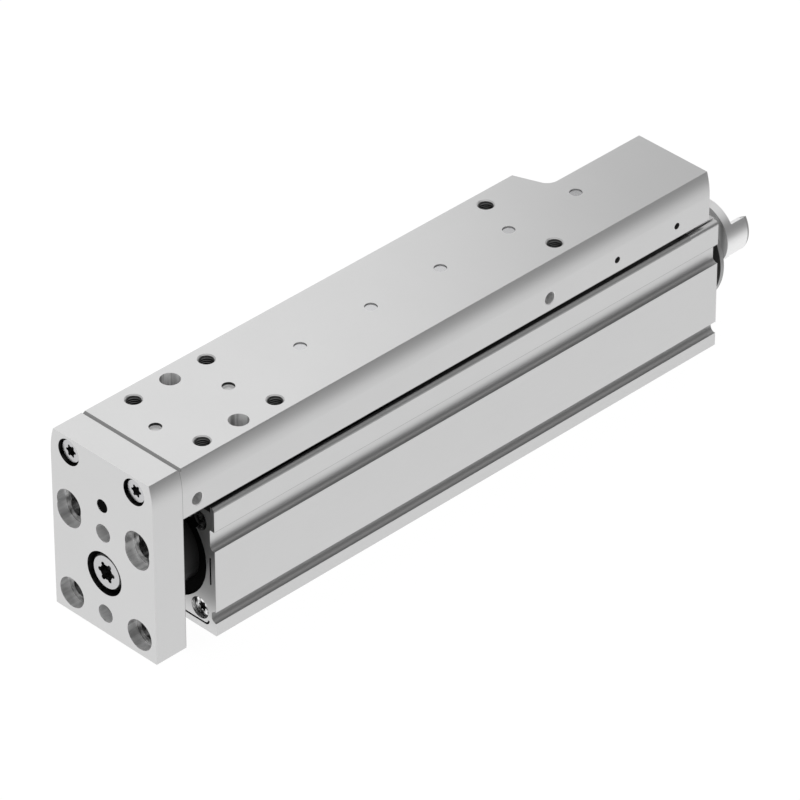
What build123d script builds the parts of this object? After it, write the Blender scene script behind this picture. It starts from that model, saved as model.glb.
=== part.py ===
from build123d import *
import os
from math import cos, radians, sin

# Electric mini slide: a ball screw in an extruded housing pushes a piston rod,
# and the rod carries a yoke plate and a slide that runs on a recirculating ball guide.
# Millimetres. X is the width, +Y points from the yoke plate to the drive end, +Z is up.
# The housing stands on z = 0, and the slide is shown retracted.

os.makedirs("parts", exist_ok=True)

# Driving dimensions: width and heights
slide_width = 44.6
bore_radius = 18.5
base_wall = 6.3
top_wall = 2.2
guide_recess_depth = 2.0
slide_gap = 2.65
slide_thickness = 17.6
plate_lift = 2.45

# Driving dimensions: lengths from the yoke plate to the drive end
plate_thickness = 12.2
rest_gap = 12.4
front_cap_length = 12.0
guide_bush_length = 25.0
buffer_thickness = 2.0
piston_length = 20.0
spigot_length = 18.4
rear_cap_length = 12.5
flange_standoff = 5.5
flange_thickness = 1.6
hub_standoff = 9.9
hub_collar_length = 3.2
claw_length = 7.3
slide_rear_inset = 4.5
stroke = 125.0
stroke_reserve = 1.5

# Clearances
running_clearance = 0.05
free_clearance = 0.3

# The barrel is as long as the bush, the piston, its travel and the bearing spigot need
barrel_length = (
    guide_bush_length
    + 2 * buffer_thickness
    + 2 * stroke_reserve
    + stroke
    + piston_length
    + spigot_length
)

# Stations along Y, counted from the yoke plate's front face
overall_length = (
    plate_thickness
    + rest_gap
    + front_cap_length
    + barrel_length
    + rear_cap_length
    + flange_standoff
    + flange_thickness
    + hub_standoff
    + hub_collar_length
    + claw_length
)
face_y = -overall_length / 2
plate_rear = face_y + plate_thickness
cap_front = plate_rear + rest_gap
barrel_front = cap_front + front_cap_length
barrel_rear = barrel_front + barrel_length
housing_rear = barrel_rear + rear_cap_length
flange_front = housing_rear + flange_standoff
flange_rear = flange_front + flange_thickness
hub_front = flange_rear + hub_standoff
claw_root = hub_front + hub_collar_length
hub_rear = claw_root + claw_length

# Heights
half_width = slide_width / 2
axis_height = base_wall + bore_radius
housing_height = axis_height + bore_radius + top_wall + guide_recess_depth
recess_floor = housing_height - guide_recess_depth
slide_bottom = housing_height + slide_gap
slide_top = slide_bottom + slide_thickness
plate_height = slide_top - plate_lift


def station(y):
    """Cross-section plane at y, seen from the yoke plate: local x is X, local y is Z."""
    return Plane(origin=(0, y, 0), x_dir=(1, 0, 0), z_dir=(0, -1, 0))


def drive_station(y):
    """Cross-section plane at y with its centre on the spindle axis."""
    return Plane(origin=(0, y, axis_height), x_dir=(1, 0, 0), z_dir=(0, -1, 0))


def tube(front, rear, outer, inner=0.0):
    """A turned ring about the spindle axis between two stations."""
    with BuildPart() as ring:
        with BuildSketch(drive_station(front)):
            Circle(outer)
            if inner > 0:
                Circle(inner, mode=Mode.SUBTRACT)
        extrude(amount=front - rear)
    return ring.part


def socket_screw(face, x, z, head_radius, head_height, shank_radius, shank_length, socket_radius):
    """A cylinder head screw with a six-lobed socket; face is the plane of the head's outer end."""
    head = Plane(origin=face.from_local_coords((x, z, 0)), x_dir=face.x_dir, z_dir=face.z_dir)
    lobe_radius = 0.22 * socket_radius
    with BuildPart() as screw:
        with BuildSketch(head):
            Circle(head_radius)
        extrude(amount=-head_height)
        outer_rim = screw.edges().filter_by(GeomType.CIRCLE).sort_by(Axis(head.origin, head.z_dir))[-1]
        chamfer(outer_rim, 0.1 * head_radius)
        with BuildSketch(head.offset(-head_height)):
            Circle(shank_radius)
        extrude(amount=-shank_length)
        with BuildSketch(head):
            Circle(0.74 * socket_radius)
            with PolarLocations(socket_radius - lobe_radius, 6):
                Circle(lobe_radius)
        extrude(amount=-0.55 * head_height, mode=Mode.SUBTRACT)
    return screw.part


# Housing extrusion section
foot_lip = 4.6
foot_slot_height = 4.3
foot_slot_corner = 1.9
sensor_groove_bottom = 31.5
sensor_groove_height = 7.25
groove_depth = 2.0
groove_corner = 1.6
top_ledge_width = 1.7
top_corner_radius = 1.4
top_block_half_width = 20.2


def housing_section(y, bore, top_block=0.0):
    """Section of the extrusion: foot slots, sensor grooves and the guide recess on top."""
    with BuildSketch(station(y)) as section:
        with Locations((0, housing_height / 2)):
            Rectangle(slide_width, housing_height)
        fillet(section.vertices().group_by(Axis.Y)[-1], top_corner_radius)
        with Locations((0, housing_height)):
            Rectangle(slide_width - 2 * top_ledge_width, 2 * guide_recess_depth, mode=Mode.SUBTRACT)
        if top_block > 0:
            with Locations((0, recess_floor)):
                Rectangle(2 * top_block_half_width, top_block, align=(Align.CENTER, Align.MIN))
        with Locations(
            (-half_width, foot_lip + foot_slot_height / 2),
            (half_width, foot_lip + foot_slot_height / 2),
        ):
            RectangleRounded(2 * groove_depth, foot_slot_height, foot_slot_corner, mode=Mode.SUBTRACT)
        with Locations(
            (-half_width, sensor_groove_bottom + sensor_groove_height / 2),
            (half_width, sensor_groove_bottom + sensor_groove_height / 2),
        ):
            Rectangle(2 * groove_depth, sensor_groove_height, mode=Mode.SUBTRACT)
        lower_inner = section.vertices().filter_by(
            lambda v: abs(v.Y - sensor_groove_bottom) < 0.01 and abs(v.X) < half_width - 0.01
        )
        fillet(lower_inner, groove_corner)
        with Locations((0, axis_height)):
            Circle(bore, mode=Mode.SUBTRACT)
    return section.sketch


# Corner screws that hold the caps to the extrusion
corner_screw_x = 15.2
corner_screw_low = 7.2
corner_screw_high = 40.3
corner_points = [
    (side * corner_screw_x, height)
    for side in (-1, 1)
    for height in (corner_screw_low, corner_screw_high)
]
corner_thread_radius = 2.0
corner_hole_radius = 2.25
corner_head_radius = 3.5
corner_head_height = 2.8
corner_sink_radius = 3.75
corner_sink_depth = 4.0
corner_screw_length = 18.0
corner_port_depth = 12.0

# Carriage seat on the housing
carriage_front_gap = 2.0
carriage_body_length = 54.0
carriage_end_length = 8.0
carriage_screw_x = 15.0
carriage_screw_pitch = 36.0
carriage_thread_radius = 1.5
carriage_thread_depth = 6.0
carriage_front = barrel_front + carriage_front_gap
carriage_body_front = carriage_front + carriage_end_length
carriage_body_rear = carriage_body_front + carriage_body_length
carriage_mid = (carriage_body_front + carriage_body_rear) / 2

# Base mounting holes
base_thread_radius = 2.5
base_thread_depth = 8.0
base_thread_x = 15.0
base_thread_pitch = 100.0
thread_mouth_chamfer = 0.4
base_pin_radius = 2.5
base_pin_depth = 3.5
base_pin_pitch = 60.0
barrel_mid = (barrel_front + barrel_rear) / 2

# Barrel extrusion
with BuildPart() as barrel_profile:
    extrude(housing_section(barrel_front, bore_radius), amount=-barrel_length)
    with Locations(station(barrel_front)):
        with Locations(*corner_points):
            Hole(corner_thread_radius, corner_port_depth)
    with Locations(Plane(origin=(0, barrel_rear, 0), x_dir=(-1, 0, 0), z_dir=(0, 1, 0))):
        with Locations(*corner_points):
            Hole(corner_thread_radius, corner_port_depth)
    with Locations(Plane(origin=(0, carriage_mid, recess_floor))):
        with GridLocations(2 * carriage_screw_x, carriage_screw_pitch, 2, 2):
            Hole(carriage_thread_radius, carriage_thread_depth)
    with Locations(Plane(origin=(0, barrel_mid, 0), x_dir=(1, 0, 0), z_dir=(0, 0, -1))):
        with GridLocations(2 * base_thread_x, base_thread_pitch, 2, 2):
            Hole(base_thread_radius, base_thread_depth)
        with GridLocations(0, base_pin_pitch, 1, 2):
            Hole(base_pin_radius, base_pin_depth)

    base_mouths = barrel_profile.edges().filter_by(GeomType.CIRCLE).filter_by(
        lambda e: abs(e.radius - base_thread_radius) < 0.01 and abs(e.center().Z) < 0.01
    )
    chamfer(base_mouths, thread_mouth_chamfer)

barrel_profile.part.label = "barrel_profile"
export_step(barrel_profile.part, "parts/barrel_profile.step")

# Front cap: its lip holds the wiper and the guide bush in the bore
cap_lip_thickness = 4.0
cap_lip_radius = 16.6
cap_slit_width = 0.7
cap_slit_depth = 5.0
cap_side_slit_x = 20.2
cap_side_slit_low = 18.3
cap_side_slit_high = 28.4
cap_base_slit_z = 2.6
cap_base_slit_half = 17.4
cap_base_slit_curl = 1.6

with BuildPart() as front_cap:
    extrude(housing_section(cap_front, bore_radius), amount=-front_cap_length)
    with BuildSketch(drive_station(barrel_front)):
        Circle(bore_radius)
        Circle(cap_lip_radius, mode=Mode.SUBTRACT)
    extrude(amount=cap_lip_thickness)
    with Locations(station(cap_front)):
        with Locations(*corner_points):
            CounterBoreHole(corner_hole_radius, corner_sink_radius, corner_sink_depth, front_cap_length)
    with BuildSketch(station(cap_front)):
        with Locations(
            (-cap_side_slit_x, (cap_side_slit_low + cap_side_slit_high) / 2),
            (cap_side_slit_x, (cap_side_slit_low + cap_side_slit_high) / 2),
        ):
            Rectangle(cap_slit_width, cap_side_slit_high - cap_side_slit_low)
        with BuildLine():
            base_slit = Line((-cap_base_slit_half, cap_base_slit_z), (cap_base_slit_half, cap_base_slit_z))
            RadiusArc(
                base_slit @ 1,
                (cap_base_slit_half + cap_base_slit_curl, cap_base_slit_z + cap_base_slit_curl),
                -cap_base_slit_curl,
            )
            RadiusArc(
                base_slit @ 0,
                (-cap_base_slit_half - cap_base_slit_curl, cap_base_slit_z + cap_base_slit_curl),
                cap_base_slit_curl,
            )
        trace(line_width=cap_slit_width)
    extrude(amount=-cap_slit_depth, mode=Mode.SUBTRACT)

front_cap.part.label = "front_cap"
export_step(front_cap.part, "parts/front_cap.step")

# Front cap screws
socket_share = 0.5

with BuildPart() as front_cap_screws:
    for x, z in corner_points:
        add(
            socket_screw(
                station(cap_front + corner_sink_depth - corner_head_height),
                x,
                z,
                corner_head_radius,
                corner_head_height,
                corner_thread_radius - free_clearance / 3,
                corner_screw_length - corner_head_height,
                socket_share * corner_head_radius,
            )
        )

front_cap_screws.part.label = "front_cap_screws"
export_step(front_cap_screws.part, "parts/front_cap_screws.step")

# Piston rod, wiper and guide bush at the front of the bore
rod_radius = 14.5
rod_bore_radius = 8.5
rod_front_wall = 16.0
wiper_length = 4.0
wiper_inset = 0.8
wiper_front = cap_front + wiper_inset
bush_front = barrel_front
bush_rear = bush_front + guide_bush_length

with BuildPart() as rod_wiper:
    add(tube(wiper_front, wiper_front + wiper_length, bore_radius, rod_radius + running_clearance))
    with Locations(station(wiper_front)):
        with Locations(*corner_points):
            Hole(corner_head_radius + free_clearance, wiper_length)

rod_wiper.part.label = "rod_wiper"
export_step(rod_wiper.part, "parts/rod_wiper.step")

with BuildPart() as rod_guide_bush:
    add(tube(bush_front, bush_rear, bore_radius, rod_radius + running_clearance))
    chamfer(rod_guide_bush.edges().filter_by(GeomType.CIRCLE).sort_by(Axis.Y)[-1], 0.5)

rod_guide_bush.part.label = "rod_guide_bush"
export_step(rod_guide_bush.part, "parts/rod_guide_bush.step")

# Piston stations follow from the stroke
front_buffer_rear = bush_rear + buffer_thickness
piston_front = front_buffer_rear + stroke_reserve + stroke
piston_rear = piston_front + piston_length
rear_buffer_front = piston_rear + stroke_reserve
spigot_front = rear_buffer_front + buffer_thickness
buffer_bore_radius = 15.2

with BuildPart() as end_buffers:
    add(tube(bush_rear, front_buffer_rear, bore_radius - running_clearance, buffer_bore_radius))
    add(tube(rear_buffer_front, spigot_front, bore_radius - running_clearance, buffer_bore_radius))

end_buffers.part.label = "end_buffers"
export_step(end_buffers.part, "parts/end_buffers.step")

# Rear bearing cap: spigot with the bearing seat, top block, neck and coupling flange
bearing_radius = 14.0
bearing_bore_radius = 6.0
bearing_width = 8.0
bearing_count = 2
retainer_thickness = 3.0
retainer_bore_radius = 9.0
lock_nut_bore_radius = 11.5
drive_bore_radius = 7.0
drive_wall = 5.0
neck_radius = 13.0
flange_radius = 18.8
top_block_gap = 2.25
bearing_front = spigot_front + retainer_thickness
bearing_rear = bearing_front + bearing_count * bearing_width
lock_nut_thickness = 5.0

with BuildPart() as rear_bearing_cap:
    extrude(
        housing_section(barrel_rear, drive_bore_radius, slide_bottom - recess_floor - top_block_gap),
        amount=-rear_cap_length,
    )
    add(tube(spigot_front, barrel_rear, bore_radius))
    add(tube(housing_rear, flange_front, neck_radius, drive_bore_radius))
    add(tube(flange_front, flange_rear, flange_radius, drive_bore_radius))
    add(tube(spigot_front, bearing_rear, bearing_radius), mode=Mode.SUBTRACT)
    add(tube(bearing_rear, housing_rear - drive_wall, lock_nut_bore_radius), mode=Mode.SUBTRACT)
    with Locations(Plane(origin=(0, housing_rear, 0), x_dir=(-1, 0, 0), z_dir=(0, 1, 0))):
        with Locations(*corner_points):
            CounterBoreHole(corner_hole_radius, corner_sink_radius, corner_sink_depth, rear_cap_length)

rear_bearing_cap.part.label = "rear_bearing_cap"
export_step(rear_bearing_cap.part, "parts/rear_bearing_cap.step")

# Rear cap screws
rear_screw_plane = Plane(
    origin=(0, housing_rear - corner_sink_depth + corner_head_height, 0),
    x_dir=(-1, 0, 0),
    z_dir=(0, 1, 0),
)

with BuildPart() as rear_cap_screws:
    for x, z in corner_points:
        add(
            socket_screw(
                rear_screw_plane,
                x,
                z,
                corner_head_radius,
                corner_head_height,
                corner_thread_radius - free_clearance / 3,
                corner_screw_length - corner_head_height,
                socket_share * corner_head_radius,
            )
        )

rear_cap_screws.part.label = "rear_cap_screws"
export_step(rear_cap_screws.part, "parts/rear_cap_screws.step")

# Spindle bearings: two angular contact ball bearings side by side
bearing_land = 2.6
ring_side_gap = 0.1
bearing_ball_radius = 2.2
bearing_ball_count = 8
race_clearance = 0.04
bearing_pitch_radius = (bearing_radius + bearing_bore_radius) / 2


def bearing_centres():
    return [bearing_front + (place + 0.5) * bearing_width for place in range(bearing_count)]


def race_groove(y):
    """Torus that cuts the ball track of both rings."""
    with BuildPart() as groove:
        with Locations(drive_station(y)):
            Torus(bearing_pitch_radius, bearing_ball_radius + race_clearance)
    return groove.part


with BuildPart() as bearing_outer_rings:
    for centre in bearing_centres():
        front = centre - bearing_width / 2 + ring_side_gap
        rear = centre + bearing_width / 2 - ring_side_gap
        add(tube(front, rear, bearing_radius, bearing_radius - bearing_land))
    for centre in bearing_centres():
        add(race_groove(centre), mode=Mode.SUBTRACT)

bearing_outer_rings.part.label = "bearing_outer_rings"
export_step(bearing_outer_rings.part, "parts/bearing_outer_rings.step")

with BuildPart() as bearing_inner_rings:
    for centre in bearing_centres():
        front = centre - bearing_width / 2 + ring_side_gap
        rear = centre + bearing_width / 2 - ring_side_gap
        add(tube(front, rear, bearing_bore_radius + bearing_land, bearing_bore_radius))
    for centre in bearing_centres():
        add(race_groove(centre), mode=Mode.SUBTRACT)

bearing_inner_rings.part.label = "bearing_inner_rings"
export_step(bearing_inner_rings.part, "parts/bearing_inner_rings.step")

with BuildPart() as bearing_balls:
    for centre in bearing_centres():
        with Locations(drive_station(centre)):
            with PolarLocations(bearing_pitch_radius, bearing_ball_count):
                Sphere(bearing_ball_radius)

bearing_balls.part.label = "bearing_balls"
export_step(bearing_balls.part, "parts/bearing_balls.step")

retainer_slot_width = 2.4

with BuildPart() as bearing_retaining_ring:
    add(tube(spigot_front, bearing_front, bearing_radius, retainer_bore_radius))
    with Locations(drive_station(spigot_front)):
        with PolarLocations((bearing_radius + retainer_bore_radius) / 2, 4, start_angle=45):
            Hole(retainer_slot_width / 2, retainer_thickness)

bearing_retaining_ring.part.label = "bearing_retaining_ring"
export_step(bearing_retaining_ring.part, "parts/bearing_retaining_ring.step")

# Ball screw spindle with bearing journal and drive journal
spindle_radius = 5.9
spindle_shoulder_radius = 7.8
spindle_shoulder_length = 2.4
spindle_pitch = 10.0
drive_journal_radius = 4.0
nut_length = 34.0
nut_front = piston_rear - nut_length
spindle_bush_length = 5.0
spindle_tip_length = 1.0
spindle_front = nut_front - stroke - spindle_bush_length - spindle_tip_length
spindle_journal_radius = 4.5
shoulder_front = bearing_front - spindle_shoulder_length
lock_nut_rear = bearing_rear + lock_nut_thickness
journal_end = claw_root - 0.5 * hub_collar_length

with BuildPart() as spindle:
    with BuildSketch(Plane.YZ):
        with BuildLine():
            Polyline(
                (spindle_front, axis_height),
                (spindle_front, axis_height + spindle_journal_radius),
                (spindle_front + spindle_bush_length, axis_height + spindle_journal_radius),
                (spindle_front + spindle_bush_length, axis_height + spindle_radius),
                (shoulder_front, axis_height + spindle_radius),
                (shoulder_front, axis_height + spindle_shoulder_radius),
                (bearing_front, axis_height + spindle_shoulder_radius),
                (bearing_front, axis_height + bearing_bore_radius),
                (lock_nut_rear, axis_height + bearing_bore_radius),
                (lock_nut_rear, axis_height + drive_journal_radius),
                (journal_end, axis_height + drive_journal_radius),
                (journal_end, axis_height),
                close=True,
            )
        make_face()
    revolve(axis=Axis((0, 0, axis_height), (0, 1, 0)))

spindle.part.label = "spindle"
export_step(spindle.part, "parts/spindle.step")

with BuildPart() as spindle_support_bush:
    add(
        tube(
            spindle_front,
            spindle_front + spindle_bush_length,
            rod_bore_radius - free_clearance,
            spindle_journal_radius,
        )
    )

spindle_support_bush.part.label = "spindle_support_bush"
export_step(spindle_support_bush.part, "parts/spindle_support_bush.step")

lock_nut_radius = 10.0
lock_nut_slot = 2.5

with BuildPart() as bearing_lock_nut:
    add(tube(bearing_rear, lock_nut_rear, lock_nut_radius, bearing_bore_radius))
    with Locations(drive_station(bearing_rear)):
        with PolarLocations(lock_nut_radius, 4):
            Box(lock_nut_slot, lock_nut_slot, 2 * lock_nut_thickness, mode=Mode.SUBTRACT)

bearing_lock_nut.part.label = "bearing_lock_nut"
export_step(bearing_lock_nut.part, "parts/bearing_lock_nut.step")

# Coupling hub on the drive journal, with two claws for the motor coupling
hub_radius = 11.2
hub_neck_radius = 5.2
claw_inner_radius = 7.0
claw_angle = 64.0
claw_taper = 0.4
claw_taper_length = 1.1

with BuildPart() as coupling_hub:
    add(tube(lock_nut_rear + free_clearance, claw_root, hub_neck_radius))
    add(tube(hub_front, hub_rear, hub_radius))
    end_face = coupling_hub.faces().sort_by(Axis.Y)[-1]
    outer_rim = end_face.edges().sort_by(SortBy.RADIUS)[-1]
    chamfer(outer_rim, claw_taper, claw_taper_length, reference=end_face)
    add(tube(claw_root, hub_rear, claw_inner_radius), mode=Mode.SUBTRACT)
    with BuildSketch(drive_station(claw_root)):
        gap_start = claw_angle / 2
        gap_angle = 180 - claw_angle
        gap_reach = 2 * hub_radius
        for turn in (0, 180):
            with BuildLine():
                Polyline(
                    (0, 0),
                    (gap_reach * cos(radians(gap_start + turn)), gap_reach * sin(radians(gap_start + turn))),
                    (
                        gap_reach * cos(radians(gap_start + gap_angle / 2 + turn)),
                        gap_reach * sin(radians(gap_start + gap_angle / 2 + turn)),
                    ),
                    (
                        gap_reach * cos(radians(gap_start + gap_angle + turn)),
                        gap_reach * sin(radians(gap_start + gap_angle + turn)),
                    ),
                    close=True,
                )
            make_face()
    extrude(amount=claw_root - hub_rear, mode=Mode.SUBTRACT)
    add(tube(lock_nut_rear, journal_end, drive_journal_radius), mode=Mode.SUBTRACT)

coupling_hub.part.label = "coupling_hub"
export_step(coupling_hub.part, "parts/coupling_hub.step")

# Piston rod: a tube closed at the yoke plate, open for the spindle behind
nut_radius = 10.5
nut_flange_radius = 13.0
nut_flange_thickness = 5.0
rod_seat_depth = 8.0
rod_rear = piston_front + rod_seat_depth
rod_screw_thread_radius = 3.0
rod_screw_length = 18.0
rod_screw_head_radius = 6.2
rod_screw_head_height = 4.4
rod_screw_head_inset = 0.8
rod_sink_radius = 7.55
rod_sink_depth = rod_screw_head_inset + rod_screw_head_height

with BuildPart() as piston_rod:
    add(tube(plate_rear, rod_rear, rod_radius))
    add(tube(plate_rear + rod_front_wall, rod_rear, rod_bore_radius), mode=Mode.SUBTRACT)
    add(tube(nut_front - free_clearance, rod_rear, nut_radius + running_clearance), mode=Mode.SUBTRACT)
    with Locations(drive_station(plate_rear)):
        Hole(rod_screw_thread_radius, rod_front_wall - 2)
    chamfer(piston_rod.edges().filter_by(GeomType.CIRCLE).group_by(Axis.Y)[0].sort_by(SortBy.RADIUS)[-1], 0.6)

piston_rod.part.label = "piston_rod"
export_step(piston_rod.part, "parts/piston_rod.step")

# Piston head with guide ring and magnet ring
piston_radius = 18.0
guide_ring_length = 6.0
guide_ring_groove = 16.9
magnet_length = 4.0
magnet_groove = 14.6
magnet_radius = 17.6
guide_ring_front = piston_front + 1.5
magnet_front = piston_rear - 2.0 - magnet_length

with BuildPart() as piston_head:
    add(tube(piston_front, piston_rear, piston_radius, nut_radius))
    add(tube(piston_front, rod_rear, rod_radius), mode=Mode.SUBTRACT)
    add(tube(piston_rear - nut_flange_thickness, piston_rear, nut_flange_radius), mode=Mode.SUBTRACT)
    add(
        tube(guide_ring_front, guide_ring_front + guide_ring_length, piston_radius + 1, guide_ring_groove),
        mode=Mode.SUBTRACT,
    )
    add(tube(magnet_front, magnet_front + magnet_length, piston_radius + 1, magnet_groove), mode=Mode.SUBTRACT)

piston_head.part.label = "piston_head"
export_step(piston_head.part, "parts/piston_head.step")

with BuildPart() as piston_guide_ring:
    add(
        tube(
            guide_ring_front,
            guide_ring_front + guide_ring_length,
            bore_radius - running_clearance,
            guide_ring_groove,
        )
    )

piston_guide_ring.part.label = "piston_guide_ring"
export_step(piston_guide_ring.part, "parts/piston_guide_ring.step")

with BuildPart() as magnet_ring:
    add(tube(magnet_front, magnet_front + magnet_length, magnet_radius, magnet_groove))

magnet_ring.part.label = "magnet_ring"
export_step(magnet_ring.part, "parts/magnet_ring.step")

# Ball screw nut, flanged into the piston head
nut_bore_radius = spindle_radius + free_clearance

with BuildPart() as spindle_nut:
    add(tube(nut_front, piston_rear, nut_radius, nut_bore_radius))
    add(tube(piston_rear - nut_flange_thickness, piston_rear, nut_flange_radius, nut_bore_radius))

spindle_nut.part.label = "spindle_nut"
export_step(spindle_nut.part, "parts/spindle_nut.step")

# Crowned outline shared by the yoke plate and the slide
crown_height = 8.5
crown_inset = 1.4


def crowned_section(y, bottom):
    """Upright sides that lean inward in an arc below the top edge."""
    crown_radius = (crown_height**2 + crown_inset**2) / (2 * crown_inset)
    with BuildSketch(station(y)) as section:
        with BuildLine():
            base = Line((-half_width, bottom), (half_width, bottom))
            right = Line(base @ 1, (half_width, slide_top - crown_height))
            right_arc = RadiusArc(right @ 1, (half_width - crown_inset, slide_top), -crown_radius)
            top = Line(right_arc @ 1, (crown_inset - half_width, slide_top))
            left_arc = RadiusArc(top @ 1, (-half_width, slide_top - crown_height), -crown_radius)
            Line(left_arc @ 1, base @ 0)
        make_face()
    return section.sketch


# Yoke plate
plate_hole_x = 15.0
plate_hole_low = 9.8
plate_hole_pitch = 30.0
plate_hole_radius = 3.3
plate_sink_radius = 5.3
plate_sink_depth = 3.8
plate_second_hole_rise = 2.8
plate_second_hole_depth = 7.4
plate_pin_radius = 3.1
plate_pin_depth = 8.0
plate_screw_x = 14.3
plate_screw_drop = 5.5
plate_screw_z = slide_top - plate_screw_drop
plate_screw_sink_radius = 4.55
plate_screw_head_radius = 4.15
plate_screw_head_height = 3.2
plate_screw_inset = 1.0
plate_screw_thread_radius = 2.4
plate_screw_length = 20.0
plate_screw_sink = plate_screw_inset + plate_screw_head_height
port_radius = 2.3
port_drop = 17.9
port_plug_inset = 0.2
port_plug_length = 5.0
seam_chamfer = 0.75

with BuildPart() as yoke_plate:
    extrude(crowned_section(face_y, plate_lift), amount=-plate_thickness)
    with Locations(station(face_y)):
        with Locations(
            (-plate_hole_x, plate_hole_low),
            (plate_hole_x, plate_hole_low),
            (-plate_hole_x, plate_hole_low + plate_hole_pitch),
            (plate_hole_x, plate_hole_low + plate_hole_pitch),
        ):
            CounterBoreHole(plate_hole_radius, plate_sink_radius, plate_sink_depth, plate_thickness)
        with Locations(
            (-plate_hole_x, plate_hole_low + plate_hole_pitch + plate_second_hole_rise),
            (plate_hole_x, plate_hole_low + plate_hole_pitch + plate_second_hole_rise),
        ):
            CounterBoreHole(
                plate_hole_radius,
                plate_sink_radius,
                plate_sink_depth,
                plate_second_hole_depth,
            )
        with Locations((0, plate_hole_low), (0, plate_hole_low + plate_hole_pitch)):
            Hole(plate_pin_radius, plate_pin_depth)
        with Locations((0, axis_height)):
            CounterBoreHole(
                rod_screw_thread_radius + free_clearance,
                rod_sink_radius,
                rod_sink_depth,
                plate_thickness,
            )
        with Locations((-plate_screw_x, plate_screw_z), (plate_screw_x, plate_screw_z)):
            CounterBoreHole(
                plate_screw_thread_radius + free_clearance / 3,
                plate_screw_sink_radius,
                plate_screw_sink,
                plate_thickness,
            )
        with Locations((0, slide_top - port_drop)):
            Hole(port_radius, plate_thickness)
    rear_top_edge = yoke_plate.edges().filter_by(Axis.X).filter_by(
        lambda e: abs(e.center().Y - plate_rear) < 0.01 and abs(e.center().Z - slide_top) < 0.01
    )
    chamfer(rear_top_edge, seam_chamfer)

yoke_plate.part.label = "yoke_plate"
export_step(yoke_plate.part, "parts/yoke_plate.step")

# Plug of the grease port, which leads to the guide carriage
with BuildPart() as grease_port_plug:
    with BuildSketch(station(face_y + port_plug_inset)):
        with Locations((0, slide_top - port_drop)):
            Circle(port_radius)
    extrude(amount=-port_plug_length)

grease_port_plug.part.label = "grease_port_plug"
export_step(grease_port_plug.part, "parts/grease_port_plug.step")

# Slide: crowned bar with a guide channel below, stepped back on one side behind the wide part
roof_thickness = 9.25
channel_half_width = 12.5
channel_front_wall = 1.5
narrow_edge_x = -8.7
step_outer_y = 182.2
step_run = 5.2
step_fillet = 4.5

top_thread_x = 15.0
top_thread_radius = 2.5
top_thread_depth = 8.5
top_thread_stations = (15.0, 45.0, 165.0)
access_hole_y = 30.0
access_hole_radius = 3.3
top_pin_radius = 2.1
top_pin_depth = 1.2
top_pin_stations = (10.0, 40.0)
rail_screw_stations = (70.0, 100.0, 130.0, 160.0, 190.0)
rail_screw_radius = 2.0
rail_screw_hole_radius = 2.1
blind_screw_depth = 4.0
side_hole_rise = 4.6
side_hole_z = slide_bottom + side_hole_rise
side_thread_radius = 2.1
side_mouth_chamfer = 0.2
side_thread_depth = 8.0
side_thread_stations = (6.0, 155.8)
side_small_radius = 1.15
side_small_depth = 6.0
side_small_stations = (185.9, 212.9)

slide_rear = housing_rear - slide_rear_inset
slide_length = slide_rear - plate_rear
channel_ceiling = slide_top - roof_thickness
step_outer = plate_rear + step_outer_y
step_inner = step_outer + step_run

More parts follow.
